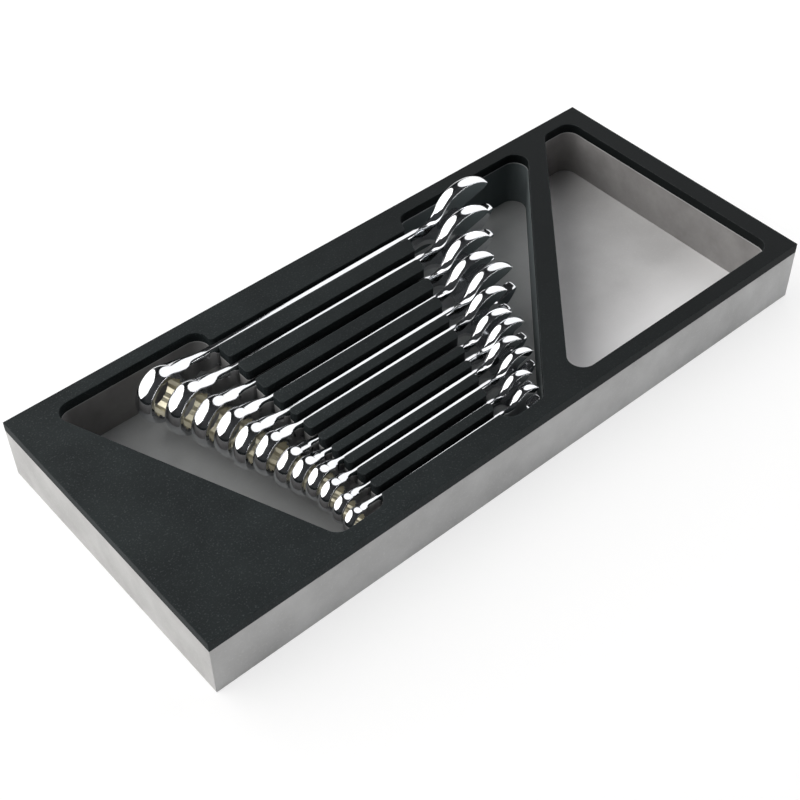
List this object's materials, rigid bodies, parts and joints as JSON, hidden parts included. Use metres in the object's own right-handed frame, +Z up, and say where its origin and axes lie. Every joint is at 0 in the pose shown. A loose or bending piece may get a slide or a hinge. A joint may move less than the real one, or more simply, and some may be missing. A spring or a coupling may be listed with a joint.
{
  "type": "foam tray of combination wrenches",
  "caption": "Layered foam drawer tray with machined pockets and a slotted block that holds polished combination wrenches on edge, in order of size.",
  "frame": {"origin": "centre of the tray's underside", "axes": "+X along the tray from the wrenches' ring ends to their open ends and the empty pocket; +Y across it from the smallest wrench to the largest; +Z up out of the pockets"},
  "size_m": [0.4, 0.174, 0.0526],
  "materials": {
    "foam_grey": "matt closed-cell foam, light grey",
    "foam_black": "matt closed-cell foam, near-black, finely speckled",
    "chrome": "mirror polished chrome on forged steel"
  },
  "bodies": {
    "root": {"foam_base": "foam_grey", "foam_top": "foam_black", "wrench_08": "chrome", "wrench_09": "chrome", "wrench_10": "chrome", "wrench_11": "chrome", "wrench_12": "chrome", "wrench_13": "chrome", "wrench_14": "chrome", "wrench_15": "chrome", "wrench_16": "chrome", "wrench_17": "chrome", "wrench_18": "chrome", "wrench_19": "chrome"}
  },
  "joints": []
}
